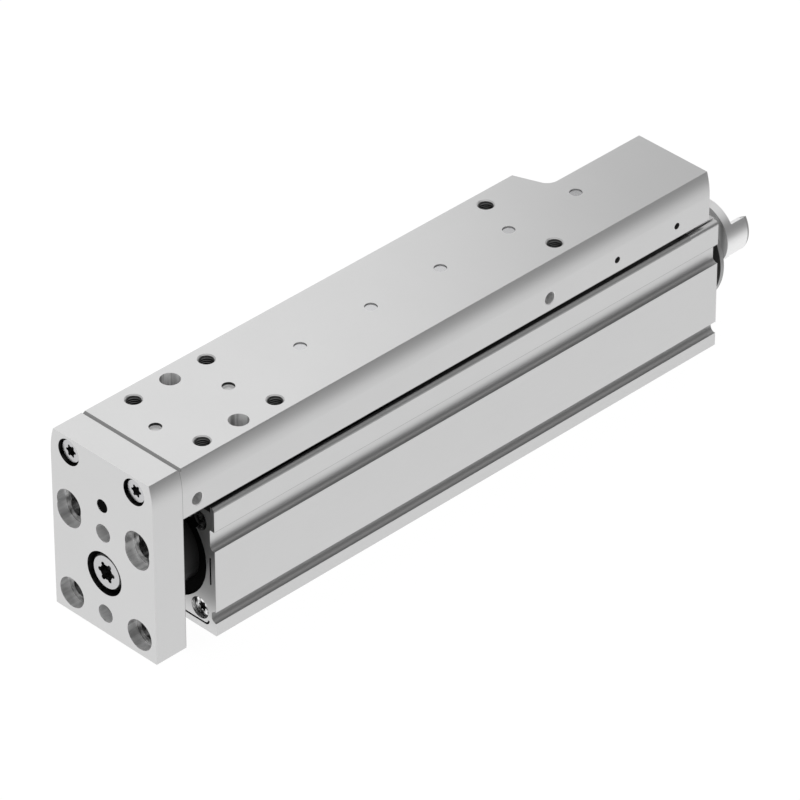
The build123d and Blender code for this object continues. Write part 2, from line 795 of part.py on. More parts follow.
with BuildPart() as slide_bar:
    extrude(crowned_section(plate_rear, slide_bottom), amount=-slide_length)
    with BuildSketch(station(plate_rear + channel_front_wall)):
        with Locations((0, slide_bottom)):
            Rectangle(
                2 * channel_half_width,
                channel_ceiling - slide_bottom,
                align=(Align.CENTER, Align.MIN),
            )
    extrude(amount=-slide_length, mode=Mode.SUBTRACT)
    with BuildSketch(Plane.XY.offset(slide_top)) as step_cut:
        with BuildLine():
            Polyline(
                (-half_width - 1, step_outer),
                (-half_width, step_outer),
                (narrow_edge_x, step_inner),
                (narrow_edge_x, slide_rear + 1),
                (-half_width - 1, slide_rear + 1),
                close=True,
            )
        make_face()
        corner = step_cut.vertices().filter_by(
            lambda v: abs(v.X - narrow_edge_x) < 0.01 and abs(v.Y - step_inner) < 0.01
        )
        fillet(corner, step_fillet)
    extrude(amount=-slide_thickness, mode=Mode.SUBTRACT)
    with Locations(Plane(origin=(0, plate_rear, slide_top))):
        with Locations(*[(side * top_thread_x, y) for side in (-1, 1) for y in top_thread_stations]):
            Hole(top_thread_radius, top_thread_depth)
        with Locations((-top_thread_x, access_hole_y), (top_thread_x, access_hole_y)):
            Hole(access_hole_radius, slide_thickness)
        with Locations(*[(0, y) for y in top_pin_stations]):
            Hole(top_pin_radius, top_pin_depth)
        with Locations(*[(0, y) for y in rail_screw_stations]):
            Hole(rail_screw_hole_radius, roof_thickness)
    with Locations(Plane(origin=(0, plate_rear, channel_ceiling), x_dir=(-1, 0, 0), z_dir=(0, 0, -1))):
        with Locations(*[(0, y) for y in top_pin_stations]):
            Hole(rail_screw_hole_radius, blind_screw_depth)
    with Locations(Plane(origin=(half_width, plate_rear, side_hole_z), x_dir=(0, 1, 0), z_dir=(1, 0, 0))):
        with Locations(*[(y, 0) for y in side_thread_stations]):
            Hole(side_thread_radius, side_thread_depth)
        with Locations(*[(y, 0) for y in side_small_stations]):
            Hole(side_small_radius, side_small_depth)
    with Locations(station(plate_rear)):
        with Locations((-plate_screw_x, plate_screw_z), (plate_screw_x, plate_screw_z)):
            Hole(plate_screw_thread_radius + free_clearance / 3, plate_screw_length - plate_thickness + 1)
    front_top_edge = slide_bar.edges().filter_by(Axis.X).filter_by(
        lambda e: abs(e.center().Y - plate_rear) < 0.01 and abs(e.center().Z - slide_top) < 0.01
    )
    chamfer(front_top_edge, seam_chamfer)
    top_mouths = slide_bar.edges().filter_by(GeomType.CIRCLE).filter_by(
        lambda e: abs(e.radius - top_thread_radius) < 0.01 and abs(e.center().Z - slide_top) < 0.01
    )
    chamfer(top_mouths, thread_mouth_chamfer)
    side_mouths = slide_bar.edges().filter_by(GeomType.CIRCLE).filter_by(
        lambda e: abs(e.radius - side_thread_radius) < 0.01 and abs(e.center().X - half_width) < 0.01
    )
    chamfer(side_mouths, side_mouth_chamfer)

slide_bar.part.label = "slide_bar"
export_step(slide_bar.part, "parts/slide_bar.step")

# Yoke plate screws into the slide, and the rod screw
plate_socket_share = 0.52
rod_socket_share = 0.58

with BuildPart() as plate_screws:
    for x in (-plate_screw_x, plate_screw_x):
        add(
            socket_screw(
                station(face_y + plate_screw_inset),
                x,
                plate_screw_z,
                plate_screw_head_radius,
                plate_screw_head_height,
                plate_screw_thread_radius,
                plate_screw_length - plate_screw_head_height,
                plate_socket_share * plate_screw_head_radius,
            )
        )

plate_screws.part.label = "plate_screws"
export_step(plate_screws.part, "parts/plate_screws.step")

with BuildPart() as rod_screw:
    add(
        socket_screw(
            station(face_y + rod_screw_head_inset),
            0,
            axis_height,
            rod_screw_head_radius,
            rod_screw_head_height,
            rod_screw_thread_radius - free_clearance / 3,
            rod_screw_length - rod_screw_head_height,
            rod_socket_share * rod_screw_head_radius,
        )
    )

rod_screw.part.label = "rod_screw"
export_step(rod_screw.part, "parts/rod_screw.step")

# Guide rail under the slide's roof
rail_half_width = 6.0
rail_height = 8.0
rail_front_gap = 0.3
rail_rear_inset = 4.0
guide_ball_radius = 1.0
track_radius = 1.05
leg_gap = 0.3
ball_row_drop = 4.3
rail_counterbore_radius = 3.7
rail_counterbore_depth = 4.3
rail_head_radius = 3.5
rail_head_height = 4.0
rail_screw_tip_inset = 0.4
rail_front = plate_rear + channel_front_wall + rail_front_gap
rail_rear = slide_rear - rail_rear_inset
rail_bottom = channel_ceiling - rail_height
ball_row_x = rail_half_width + leg_gap / 2
ball_row_z = channel_ceiling - ball_row_drop
rail_chamfer = 0.6

with BuildPart() as guide_rail:
    with BuildSketch(station(rail_front)) as rail_section:
        with Locations((0, channel_ceiling)):
            Rectangle(2 * rail_half_width, rail_height, align=(Align.CENTER, Align.MAX))
        chamfer(rail_section.vertices().group_by(Axis.Y)[0], rail_chamfer)
        with Locations((-ball_row_x, ball_row_z), (ball_row_x, ball_row_z)):
            Circle(track_radius, mode=Mode.SUBTRACT)
    extrude(amount=rail_front - rail_rear)
    with Locations(Plane(origin=(0, plate_rear, rail_bottom), x_dir=(-1, 0, 0), z_dir=(0, 0, -1))):
        with Locations(*[(0, y) for y in rail_screw_stations + top_pin_stations]):
            CounterBoreHole(rail_screw_hole_radius, rail_counterbore_radius, rail_counterbore_depth, rail_height)

guide_rail.part.label = "guide_rail"
export_step(guide_rail.part, "parts/guide_rail.step")

rail_head_face = Plane(
    origin=(0, plate_rear, rail_bottom + rail_counterbore_depth - rail_head_height),
    x_dir=(-1, 0, 0),
    z_dir=(0, 0, -1),
)
rail_seat_z = rail_bottom + rail_counterbore_depth
rail_through_length = slide_top - rail_screw_tip_inset - rail_seat_z
rail_blind_length = channel_ceiling + blind_screw_depth - rail_screw_tip_inset - rail_seat_z

with BuildPart() as rail_screws:
    for y in rail_screw_stations + top_pin_stations:
        add(
            socket_screw(
                rail_head_face,
                0,
                y,
                rail_head_radius,
                rail_head_height,
                rail_screw_radius,
                rail_blind_length if y in top_pin_stations else rail_through_length,
                socket_share * rail_head_radius,
            )
        )

rail_screws.part.label = "rail_screws"
export_step(rail_screws.part, "parts/rail_screws.step")

# Guide carriage on the housing, its end caps, balls and screws
carriage_leg_half_width = 11.8
carriage_leg_top_gap = 1.0
carriage_flange_half_width = 19.0
carriage_flange_thickness = 4.0
carriage_web_gap = 0.3
carriage_head_radius = 2.75
carriage_head_height = 1.8
carriage_sink_radius = 2.95
carriage_sink_depth = 1.9
end_cap_inset = 0.4
end_cap_rail_gap = 0.3
ball_pitch = 5.2


def carriage_section(y, inset=0.0, rail_gap=0.0):
    """Flanged carriage section that wraps the rail from below."""
    with BuildSketch(station(y)) as section:
        with Locations((0, recess_floor)):
            Rectangle(
                2 * (carriage_flange_half_width - inset),
                carriage_flange_thickness - inset,
                align=(Align.CENTER, Align.MIN),
            )
            Rectangle(
                2 * (carriage_leg_half_width - inset),
                channel_ceiling - carriage_leg_top_gap - recess_floor - inset,
                align=(Align.CENTER, Align.MIN),
            )
        with Locations((0, channel_ceiling)):
            Rectangle(
                2 * (rail_half_width + leg_gap + rail_gap),
                rail_height + carriage_web_gap + rail_gap,
                align=(Align.CENTER, Align.MAX),
                mode=Mode.SUBTRACT,
            )
    return section.sketch


with BuildPart() as guide_carriage:
    extrude(carriage_section(carriage_body_front), amount=-carriage_body_length)
    with BuildSketch(station(carriage_body_front)):
        with Locations((-ball_row_x, ball_row_z), (ball_row_x, ball_row_z)):
            Circle(track_radius)
    extrude(amount=-carriage_body_length, mode=Mode.SUBTRACT)
    with Locations(Plane(origin=(0, carriage_mid, recess_floor + carriage_flange_thickness))):
        with GridLocations(2 * carriage_screw_x, carriage_screw_pitch, 2, 2):
            CounterBoreHole(
                carriage_thread_radius + free_clearance / 3,
                carriage_sink_radius,
                carriage_sink_depth,
                carriage_flange_thickness,
            )

guide_carriage.part.label = "guide_carriage"
export_step(guide_carriage.part, "parts/guide_carriage.step")

with BuildPart() as carriage_end_caps:
    extrude(carriage_section(carriage_front, end_cap_inset, end_cap_rail_gap), amount=-carriage_end_length)
    extrude(
        carriage_section(carriage_body_rear, end_cap_inset, end_cap_rail_gap),
        amount=-carriage_end_length,
    )

carriage_end_caps.part.label = "carriage_end_caps"
export_step(carriage_end_caps.part, "parts/carriage_end_caps.step")

balls_per_row = int(carriage_body_length // ball_pitch)

with BuildPart() as guide_balls:
    with Locations(Plane(origin=(0, carriage_mid, ball_row_z))):
        with GridLocations(2 * ball_row_x, ball_pitch, 2, balls_per_row):
            Sphere(guide_ball_radius)

guide_balls.part.label = "guide_balls"
export_step(guide_balls.part, "parts/guide_balls.step")

carriage_screw_face = Plane(
    origin=(
        0,
        carriage_mid,
        recess_floor + carriage_flange_thickness - carriage_sink_depth + carriage_head_height,
    )
)

with BuildPart() as carriage_screws:
    for x in (-carriage_screw_x, carriage_screw_x):
        for y in (-carriage_screw_pitch / 2, carriage_screw_pitch / 2):
            add(
                socket_screw(
                    carriage_screw_face,
                    x,
                    y,
                    carriage_head_radius,
                    carriage_head_height,
                    carriage_thread_radius - free_clearance / 3,
                    carriage_thread_depth + carriage_flange_thickness - carriage_sink_depth - 0.5,
                    socket_share * carriage_head_radius,
                )
            )

carriage_screws.part.label = "carriage_screws"
export_step(carriage_screws.part, "parts/carriage_screws.step")

print("overall length", round(overall_length, 2), "height", round(slide_top, 2))
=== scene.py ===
# %% [markdown]
# # Electric mini slide
# This lesson dresses the measured model of an electric slide. The shapes come from CAD as a
# fixed frame, so Blender adds what CAD leaves out: finishes, thread turns and the studio.

# %% Load the frame
import math

import bpy
from mathutils import Matrix, Vector


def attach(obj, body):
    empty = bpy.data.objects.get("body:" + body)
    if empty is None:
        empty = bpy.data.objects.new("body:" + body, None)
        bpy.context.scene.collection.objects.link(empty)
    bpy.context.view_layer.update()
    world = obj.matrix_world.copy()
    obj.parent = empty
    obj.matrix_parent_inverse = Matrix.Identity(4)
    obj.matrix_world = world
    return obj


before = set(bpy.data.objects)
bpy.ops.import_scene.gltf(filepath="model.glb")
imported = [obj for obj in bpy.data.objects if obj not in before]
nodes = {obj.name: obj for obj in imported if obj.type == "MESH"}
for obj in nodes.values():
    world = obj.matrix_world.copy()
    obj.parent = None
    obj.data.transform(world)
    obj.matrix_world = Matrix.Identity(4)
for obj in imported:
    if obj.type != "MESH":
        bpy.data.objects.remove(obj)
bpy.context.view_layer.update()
scene = bpy.context.scene
MM = 0.001
print("frame pieces:", len(nodes))

# %% [markdown]
# ## Camera
# The photograph was taken from far away with a long lens, so its parallel edges hardly
# converge. The viewing direction, the distance and the focal length were solved from the
# holes and edges, in units of the yoke plate's width.

# %% Camera
PLATE_WIDTH = 44.6 * MM
PLATE_FRONT_Y = -136.0 * MM
PLATE_BOTTOM_Z = 2.45 * MM
CAMERA_AZIMUTH = math.radians(45.433708)
CAMERA_ELEVATION = math.radians(35.183871)
CAMERA_ROLL = math.radians(0.134917)
CAMERA_RIGHT = 1.986681
CAMERA_UP = 1.577128
CAMERA_BACK = 45.546051
CAMERA_NEAREST = 0.1
CAMERA_FARTHEST = 10.0
FOCAL_PIXELS = 6730.3036
IMAGE_PIXELS = 800
SENSOR_WIDTH = 36.0

right = Vector((math.cos(CAMERA_AZIMUTH), math.sin(CAMERA_AZIMUTH), 0.0))
back = Vector((
    math.sin(CAMERA_AZIMUTH) * math.cos(CAMERA_ELEVATION),
    -math.cos(CAMERA_AZIMUTH) * math.cos(CAMERA_ELEVATION),
    math.sin(CAMERA_ELEVATION),
))
up = back.cross(right)
rolled_right = right * math.cos(CAMERA_ROLL) - up * math.sin(CAMERA_ROLL)
rolled_up = right * math.sin(CAMERA_ROLL) + up * math.cos(CAMERA_ROLL)
plate_corner = Vector((0.0, PLATE_FRONT_Y, PLATE_BOTTOM_Z))
camera_place = plate_corner + PLATE_WIDTH * (
    rolled_right * CAMERA_RIGHT + rolled_up * CAMERA_UP + back * CAMERA_BACK
)

camera_data = bpy.data.cameras.new("photo_camera")
camera_data.sensor_width = SENSOR_WIDTH
camera_data.lens = SENSOR_WIDTH * FOCAL_PIXELS / IMAGE_PIXELS
camera_data.clip_start = CAMERA_NEAREST
camera_data.clip_end = CAMERA_FARTHEST
camera = bpy.data.objects.new("photo_camera", camera_data)
scene.collection.objects.link(camera)
camera.matrix_world = Matrix.Translation(camera_place) @ Matrix(
    (rolled_right, rolled_up, back)
).transposed().to_4x4()
scene.camera = camera
print("camera distance", round((camera_place - plate_corner).length, 3), "m")

# %% [markdown]
# ## Studio
# A catalogue picture hangs the object in a white tent. Satin aluminium shows that tent as
# broad tones, so the room is painted by direction: white below, a little greyer above, and
# a dark wall behind to the right. The slide's crowned upper edge and the housing's grooves
# mirror that wall, and it is what makes them read as curved.

# %% Room
ROOM_TONES = (
    # Height from straight down to straight up, and the tone there
    (0.00, 1.00),
    (0.25, 0.98),
    (0.50, 0.85),
    (0.79, 0.46),
    (1.00, 0.95),
)
DARK_WALL = Vector((0.81, 0.57, 0.12)).normalized()
DARK_WALL_EDGE = math.cos(math.radians(37.0))
DARK_WALL_CORE = math.cos(math.radians(8.0))
DARK_WALL_DEPTH = 0.90

world = bpy.data.worlds.new("studio_room")
scene.world = world
world.use_nodes = True
room = world.node_tree
direction = room.nodes.new("ShaderNodeTexCoord")
split = room.nodes.new("ShaderNodeSeparateXYZ")
height = room.nodes.new("ShaderNodeMapRange")
height.inputs["From Min"].default_value = -1.0
tones = room.nodes.new("ShaderNodeValToRGB")
while len(tones.color_ramp.elements) < len(ROOM_TONES):
    tones.color_ramp.elements.new(0.5)
for element, (position, tone) in zip(tones.color_ramp.elements, ROOM_TONES):
    element.position = position
    element.color = (tone, tone, tone, 1.0)

toward_wall = room.nodes.new("ShaderNodeVectorMath")
toward_wall.operation = "DOT_PRODUCT"
toward_wall.inputs[1].default_value = DARK_WALL
wall = room.nodes.new("ShaderNodeMapRange")
wall.interpolation_type = "SMOOTHSTEP"
wall.inputs["From Min"].default_value = DARK_WALL_EDGE
wall.inputs["From Max"].default_value = DARK_WALL_CORE
wall.inputs["To Min"].default_value = 1.0
wall.inputs["To Max"].default_value = 1.0 - DARK_WALL_DEPTH
background = room.nodes["Background"]
room.links.new(direction.outputs["Generated"], split.inputs["Vector"])
room.links.new(split.outputs["Z"], height.inputs["Value"])
room.links.new(height.outputs["Result"], tones.inputs["Fac"])
room.links.new(tones.outputs["Color"], background.inputs["Color"])
room.links.new(direction.outputs["Generated"], toward_wall.inputs[0])
room.links.new(toward_wall.outputs["Value"], wall.inputs["Value"])
room.links.new(wall.outputs["Result"], background.inputs["Strength"])
scene.view_settings.view_transform = "Standard"
scene.view_settings.look = "None"
print("room tones:", len(ROOM_TONES))

# %% [markdown]
# The floor only has to look white, so it glows a little and is left out of reflections. It
# lies a hair below the housing and is clear from behind, so the mounting face can be seen.

# %% Floor
FLOOR_HALF = 6.0
FLOOR_Z = -0.2 * MM
FLOOR_TONE = 0.06
FLOOR_ROUGHNESS = 0.9
FLOOR_GLOW = 0.96


def principled(material):
    """The material's own surface shader."""
    return next(n for n in material.node_tree.nodes if n.type == "BSDF_PRINCIPLED")


floor_corners = [(-1, -1), (1, -1), (1, 1), (-1, 1)]
floor_mesh = bpy.data.meshes.new("studio_floor")
floor_mesh.from_pydata(
    [(x * FLOOR_HALF, y * FLOOR_HALF, FLOOR_Z) for x, y in floor_corners], [], [(0, 1, 2, 3)]
)
floor = bpy.data.objects.new("studio_floor", floor_mesh)
scene.collection.objects.link(floor)
floor_material = bpy.data.materials.new("white_sweep")
floor_material.use_nodes = True
floor_shader = principled(floor_material)
floor_shader.inputs["Base Color"].default_value = (FLOOR_TONE, FLOOR_TONE, FLOOR_TONE, 1.0)
floor_shader.inputs["Roughness"].default_value = FLOOR_ROUGHNESS
floor_shader.inputs["Emission Color"].default_value = (1.0, 1.0, 1.0, 1.0)
floor_shader.inputs["Emission Strength"].default_value = FLOOR_GLOW

floor_tree = floor_material.node_tree
floor_side = floor_tree.nodes.new("ShaderNodeNewGeometry")
front_only = floor_tree.nodes.new("ShaderNodeMath")
front_only.operation = "SUBTRACT"
front_only.inputs[0].default_value = 1.0
floor_tree.links.new(floor_side.outputs["Backfacing"], front_only.inputs[1])
floor_tree.links.new(front_only.outputs["Value"], floor_shader.inputs["Alpha"])
floor_mesh.materials.append(floor_material)
floor.visible_glossy = False
floor.visible_diffuse = False
print("floor:", 2 * FLOOR_HALF, "m wide")

# %% [markdown]
# A softbox stands behind and to the left, where the front half of the top face mirrors it.
# It fades along the slide, as the light in the photograph does.

# %% Softbox
SOFTBOX_PLACE = Vector((-0.45, 0.26, 0.52))
SOFTBOX_AIM = Vector((0.0, -0.10, 0.06))
SOFTBOX_SIZE = 0.35
SOFTBOX_POWER = 0.28

softbox_data = bpy.data.lights.new("top_softbox", "AREA")
softbox_data.size = SOFTBOX_SIZE
softbox_data.energy = SOFTBOX_POWER
softbox = bpy.data.objects.new("top_softbox", softbox_data)
scene.collection.objects.link(softbox)
softbox.location = SOFTBOX_PLACE
softbox.rotation_mode = "QUATERNION"
softbox.rotation_quaternion = (SOFTBOX_AIM - SOFTBOX_PLACE).to_track_quat("-Z", "Y")

# %% [markdown]
# ## Shared surface effects
# Every metal here has a fine grain and slight cloudiness, left by the cutter, the die or the
# grinding wheel. Two node groups make the shared effects once, and each finish places them
# with its own scale and strength. The first gives the grain and the cloudiness.

# %% Grain group
FINE_DETAIL = 3.0
CLOUD_SCALE = 45.0
CLOUD_DETAIL = 4.0


def add_socket(group, name, kind, direction="INPUT", value=None):
    """A named input or output of a node group."""
    socket = group.interface.new_socket(name=name, in_out=direction, socket_type=kind)
    if value is not None:
        socket.default_value = value
    return socket


def grain_group():
    """Stretched fine noise as a height, and broad noise as a cloud mask."""
    group = bpy.data.node_groups.new("metal_grain", "ShaderNodeTree")
    add_socket(group, "Stretch", "NodeSocketVector", value=(1.0, 1.0, 1.0))
    add_socket(group, "Scale", "NodeSocketFloat", value=900.0)
    add_socket(group, "Height", "NodeSocketFloat", "OUTPUT")
    add_socket(group, "Cloud", "NodeSocketFloat", "OUTPUT")
    new, link = group.nodes.new, group.links.new
    entry, leave = new("NodeGroupInput"), new("NodeGroupOutput")
    coords = new("ShaderNodeTexCoord")
    stretched = new("ShaderNodeVectorMath")
    stretched.operation = "MULTIPLY"
    fine = new("ShaderNodeTexNoise")
    fine.inputs["Detail"].default_value = FINE_DETAIL
    cloud = new("ShaderNodeTexNoise")
    cloud.inputs["Scale"].default_value = CLOUD_SCALE
    cloud.inputs["Detail"].default_value = CLOUD_DETAIL
    link(coords.outputs["Object"], stretched.inputs[0])
    link(entry.outputs["Stretch"], stretched.inputs[1])
    link(stretched.outputs["Vector"], fine.inputs["Vector"])
    link(entry.outputs["Scale"], fine.inputs["Scale"])
    link(coords.outputs["Object"], cloud.inputs["Vector"])
    link(fine.outputs["Fac"], leave.inputs["Height"])
    link(cloud.outputs["Fac"], leave.inputs["Cloud"])
    return group


GRAIN = grain_group()
print("groups:", [g.name for g in bpy.data.node_groups])

# %% [markdown]
# A machined piece isn't one finish all over. Its bores are bright from the drill, while its
# grooves, deep holes and screw sockets get colour painted darker as shade. A mask that is 1
# inside a box of object space finds such places without touching the mesh. Left and right are
# alike on this slide, so the mask reads the absolute X.

# %% Box mask group


def box_group():
    """A mask from object space: 0 at the faces of a box, 1 deeper inside than the fade."""
    group = bpy.data.node_groups.new("mirrored_box", "ShaderNodeTree")
    for label, value in (("Low corner", -1.0), ("High corner", 1.0), ("Fade", 0.001)):
        add_socket(group, label, "NodeSocketVector", value=(value, value, value))
    add_socket(group, "Inside", "NodeSocketFloat", "OUTPUT")
    new, link = group.nodes.new, group.links.new
    entry, leave = new("NodeGroupInput"), new("NodeGroupOutput")
    coords = new("ShaderNodeTexCoord")
    split, join = new("ShaderNodeSeparateXYZ"), new("ShaderNodeCombineXYZ")
    link(coords.outputs["Object"], split.inputs["Vector"])
    mirrored = new("ShaderNodeMath")
    mirrored.operation = "ABSOLUTE"
    link(split.outputs["X"], mirrored.inputs[0])
    link(mirrored.outputs["Value"], join.inputs["X"])
    link(split.outputs["Y"], join.inputs["Y"])
    link(split.outputs["Z"], join.inputs["Z"])

    def vector_math(operation, first, second):
        node = new("ShaderNodeVectorMath")
        node.operation = operation
        link(first, node.inputs[0])
        link(second, node.inputs[1])
        return node.outputs["Vector"]

    above_low = vector_math("SUBTRACT", join.outputs["Vector"], entry.outputs["Low corner"])
    below_high = vector_math("SUBTRACT", entry.outputs["High corner"], join.outputs["Vector"])
    nearest = vector_math("MINIMUM", above_low, below_high)
    depth = new("ShaderNodeSeparateXYZ")
    link(vector_math("DIVIDE", nearest, entry.outputs["Fade"]), depth.inputs["Vector"])
    across, least = new("ShaderNodeMath"), new("ShaderNodeMath")
    across.operation = least.operation = "MINIMUM"
    link(depth.outputs["X"], across.inputs[0])
    link(depth.outputs["Y"], across.inputs[1])
    link(across.outputs["Value"], least.inputs[0])
    link(depth.outputs["Z"], least.inputs[1])
    soft = new("ShaderNodeMapRange")
    soft.interpolation_type = "SMOOTHSTEP"
    link(least.outputs["Value"], soft.inputs["Value"])
    link(soft.outputs["Result"], leave.inputs["Inside"])
    return group


BOX = box_group()
print("groups:", [g.name for g in bpy.data.node_groups])

# %% [markdown]
# ## Metal finishes
# The housing and the slide are satin anodised aluminium: nearly white, with a soft sheen.
# Screws, bearings and rods are steel, which is darker and mirrors more. One recipe makes
# them all: a colour that clouds a little, a roughness that follows the grain, and a fine
# relief. A place is a box of the piece that gets two tones of its own, mixed by streaks.

# %% Metal recipe
HARD = (0.02, 0.02, 0.02)
EVEN = (1.0, 1.0, 1.0)
STREAK_LOW = 0.38
STREAK_HIGH = 0.62
ROUGHNESS_SPREAD = 0.15
RELIEF_DEPTH = 0.02 * MM


def place(
    low, high, light, dark=None, rough=0.5, metallic=0.9, fade=HARD, stretch=EVEN, scale=420.0
):
    """A box of a piece, in millimetres, with two tones of its own that streaks mix."""
    return {
        "boxes": [Vector(low) * MM, Vector(high) * MM, Vector(fade) * MM],
        "tones": [(light if dark is None else dark,) * 3, (light,) * 3],
        "values": {"Roughness": rough, "Metallic": metallic},
        "stretch": stretch,
        "scale": scale,
    }


def grain_node(tree, stretch, scale):
    """The shared grain with a finish's own stretch and scale."""
    grain = tree.nodes.new("ShaderNodeGroup")
    grain.node_tree = GRAIN
    grain.inputs["Stretch"].default_value = stretch
    grain.inputs["Scale"].default_value = scale
    return grain


def mix(tree, factor, first, second, kind):
    """Mix two tones (RGBA) or two numbers (FLOAT), each of them plain or a socket."""
    node = tree.nodes.new("ShaderNodeMix")
    node.data_type = kind
    tree.links.new(factor, node.inputs["Factor"])
    for label, value in (("A", first), ("B", second)):
        if isinstance(value, bpy.types.NodeSocket):
            tree.links.new(value, node.inputs[label])
        else:
            node.inputs[label].default_value = (*value, 1.0) if kind == "RGBA" else value
    return node.outputs["Result"]


def streak_mask(tree, grain):
    """Sharpen the grain's soft noise, so that streaks read as light and dark."""
    sharp = tree.nodes.new("ShaderNodeMapRange")
    sharp.inputs["From Min"].default_value = STREAK_LOW
    sharp.inputs["From Max"].default_value = STREAK_HIGH
    tree.links.new(grain.outputs["Height"], sharp.inputs["Value"])
    return sharp.outputs["Result"]


def lay_place(tree, colour, values, where):
    """Mix a place's tones and values over what the piece has elsewhere."""
    mask = tree.nodes.new("ShaderNodeGroup")
    mask.node_tree = BOX
    for label, corner in zip(("Low corner", "High corner", "Fade"), where["boxes"]):
        mask.inputs[label].default_value = corner
    inside = mask.outputs["Inside"]
    streaks = streak_mask(tree, grain_node(tree, where["stretch"], where["scale"]))
    tones = mix(tree, streaks, *where["tones"], "RGBA")
    mixed = {
        label: mix(tree, inside, value, where["values"][label], "FLOAT")
        for label, value in values.items()
    }
    return mix(tree, inside, colour, tones, "RGBA"), mixed


def metal(
    name, colour, roughness, stretch=EVEN, scale=900.0, bump=0.05, tint=0.04, metallic=1.0,
    places=(),
):
    """A metal whose colour, roughness and height follow the shared grain."""
    material = bpy.data.materials.new(name)
    material.use_nodes = True
    tree = material.node_tree
    shader = principled(material)
    grain = grain_node(tree, stretch, scale)
    shade = [c * (1 - tint) for c in colour]
    tone = mix(tree, grain.outputs["Cloud"], shade, colour, "RGBA")
    rough_range = tree.nodes.new("ShaderNodeMapRange")
    rough_range.inputs["To Min"].default_value = roughness * (1 - ROUGHNESS_SPREAD)
    rough_range.inputs["To Max"].default_value = roughness * (1 + ROUGHNESS_SPREAD)
    tree.links.new(grain.outputs["Height"], rough_range.inputs["Value"])

    # Metallic gets nodes only where a place differs from the rest of the piece
    values = {"Roughness": rough_range.outputs["Result"]}
    shader.inputs["Metallic"].default_value = metallic
    if any(where["values"]["Metallic"] != metallic for where in places):
        values["Metallic"] = metallic
    for where in places:
        tone, values = lay_place(tree, tone, values, where)
    tree.links.new(tone, shader.inputs["Base Color"])
    for label, value in values.items():
        tree.links.new(value, shader.inputs[label])

    relief = tree.nodes.new("ShaderNodeBump")
    relief.inputs["Strength"].default_value = bump
    relief.inputs["Distance"].default_value = RELIEF_DEPTH
    tree.links.new(grain.outputs["Height"], relief.inputs["Height"])
    tree.links.new(relief.outputs["Normal"], shader.inputs["Normal"])
    return material


# %% [markdown]
# ## Stations of the pieces
# The places are given in millimetres of the CAD frame: X across, Y from the plate to the
# hub, Z up from the mounting face. A place that starts at MIDDLE reaches across the middle
# plane. One that starts a hair under a face leaves the face itself in the piece's own
# finish. A hole along Y has its streaks along Y, so its noise is stretched that way, and
# likewise along X and Z.

# %% Stations
ALONG_X = (0.06, 1.0, 1.0)
ALONG_Y = (1.0, 0.06, 1.0)
ALONG_Z = (1.0, 1.0, 0.06)
DRAWN = (1, 0.03, 1)
ROLLED = (1, 0.05, 1)
SPUN = (1, 8, 1)
GROUND = (1, 6, 1)
THIN_LINE = (0.1, 0.1, 0.1)
# Near-black tone for painted shade in deep bores and slits
SHADE_BLACK = 0.012

MIDDLE = -1
UNDER_PLATE_FACE = -135.97
SINK_FLOOR = -132.25
PLATE_BACK = -123.8
CAP_FACE = -111.4
UNDER_CAP_FACE = -111.3
CAP_BACK = -99.0
BARREL_END = 96.1
SLIDE_END = 105.0
HOUSING_END = 108.4
UNDER_SIDE = 22.26
PAST_SIDE = 23.0
RECESS_FLOOR = 45.2
LEDGE_TOP = 47.9
CHANNEL_CEILING = 58.6
UNDER_TOP = 67.73
SLIDE_TOP = 67.75

TOP_HOLE_X = 15.0
TOP_THREADS = [PLATE_BACK + y for y in (15.0, 45.0, 165.0)]
TOP_PINS = [PLATE_BACK + y for y in (10.0, 40.0)]
ACCESS_HOLE = PLATE_BACK + 30.0
SIDE_THREADS = [PLATE_BACK + y for y in (6.0, 155.8)]


def hole_from_above(x, y, half, bottom, top, **look):
    """A place round a hole that is drilled from above."""
    return place((x - half, y - half, bottom), (x + half, y + half, top), **look)


print("threads in the top at Y", [round(y, 1) for y in TOP_THREADS], "mm")

# %% [markdown]
# The yoke plate's screw heads stand in deep sinks, with a dark ring of shade round each.
# Its sinks are turned, so they show bright streaks.

# %% Places on the plate and the slide
PLATE_PLACES = (
    # Sinks, then the deeper holes painted darker as shade, then the plain centring bores
    place(
        (MIDDLE, UNDER_PLATE_FACE, 3), (20.6, SINK_FLOOR, 66.9),
        light=1.0, dark=0.62, rough=0.3, metallic=0.6, stretch=ALONG_Y,
    ),
    place(
        (MIDDLE, SINK_FLOOR - 0.02, 3), (20.6, PLATE_BACK - 0.1, 66.9),
        light=0.55, dark=0.12, rough=0.25, stretch=ALONG_Y,
    ),
    place(
        (MIDDLE, UNDER_PLATE_FACE, 5), (3.4, PLATE_BACK - 0.1, 45.0),
        light=0.90, dark=0.70, rough=0.4, metallic=0.6, stretch=ALONG_Y,
    ),
    # Ring gaps round the screws painted nearly black as shade, and the thin joint line to the
    # slide
    place(
        (MIDDLE, UNDER_PLATE_FACE, 16.5), (8.0, -129.0, 33.0),
        light=0.06, dark=0.0, stretch=ALONG_Y,
    ),
    place(
        (9.4, UNDER_PLATE_FACE, 57.2), (19.2, -129.0, 66.9),
        light=0.06, dark=0.0, stretch=ALONG_Y,
    ),
    place((20.5, -123.98, 3), (22.6, -123.7, 67.8), light=0.30, fade=THIN_LINE),
)
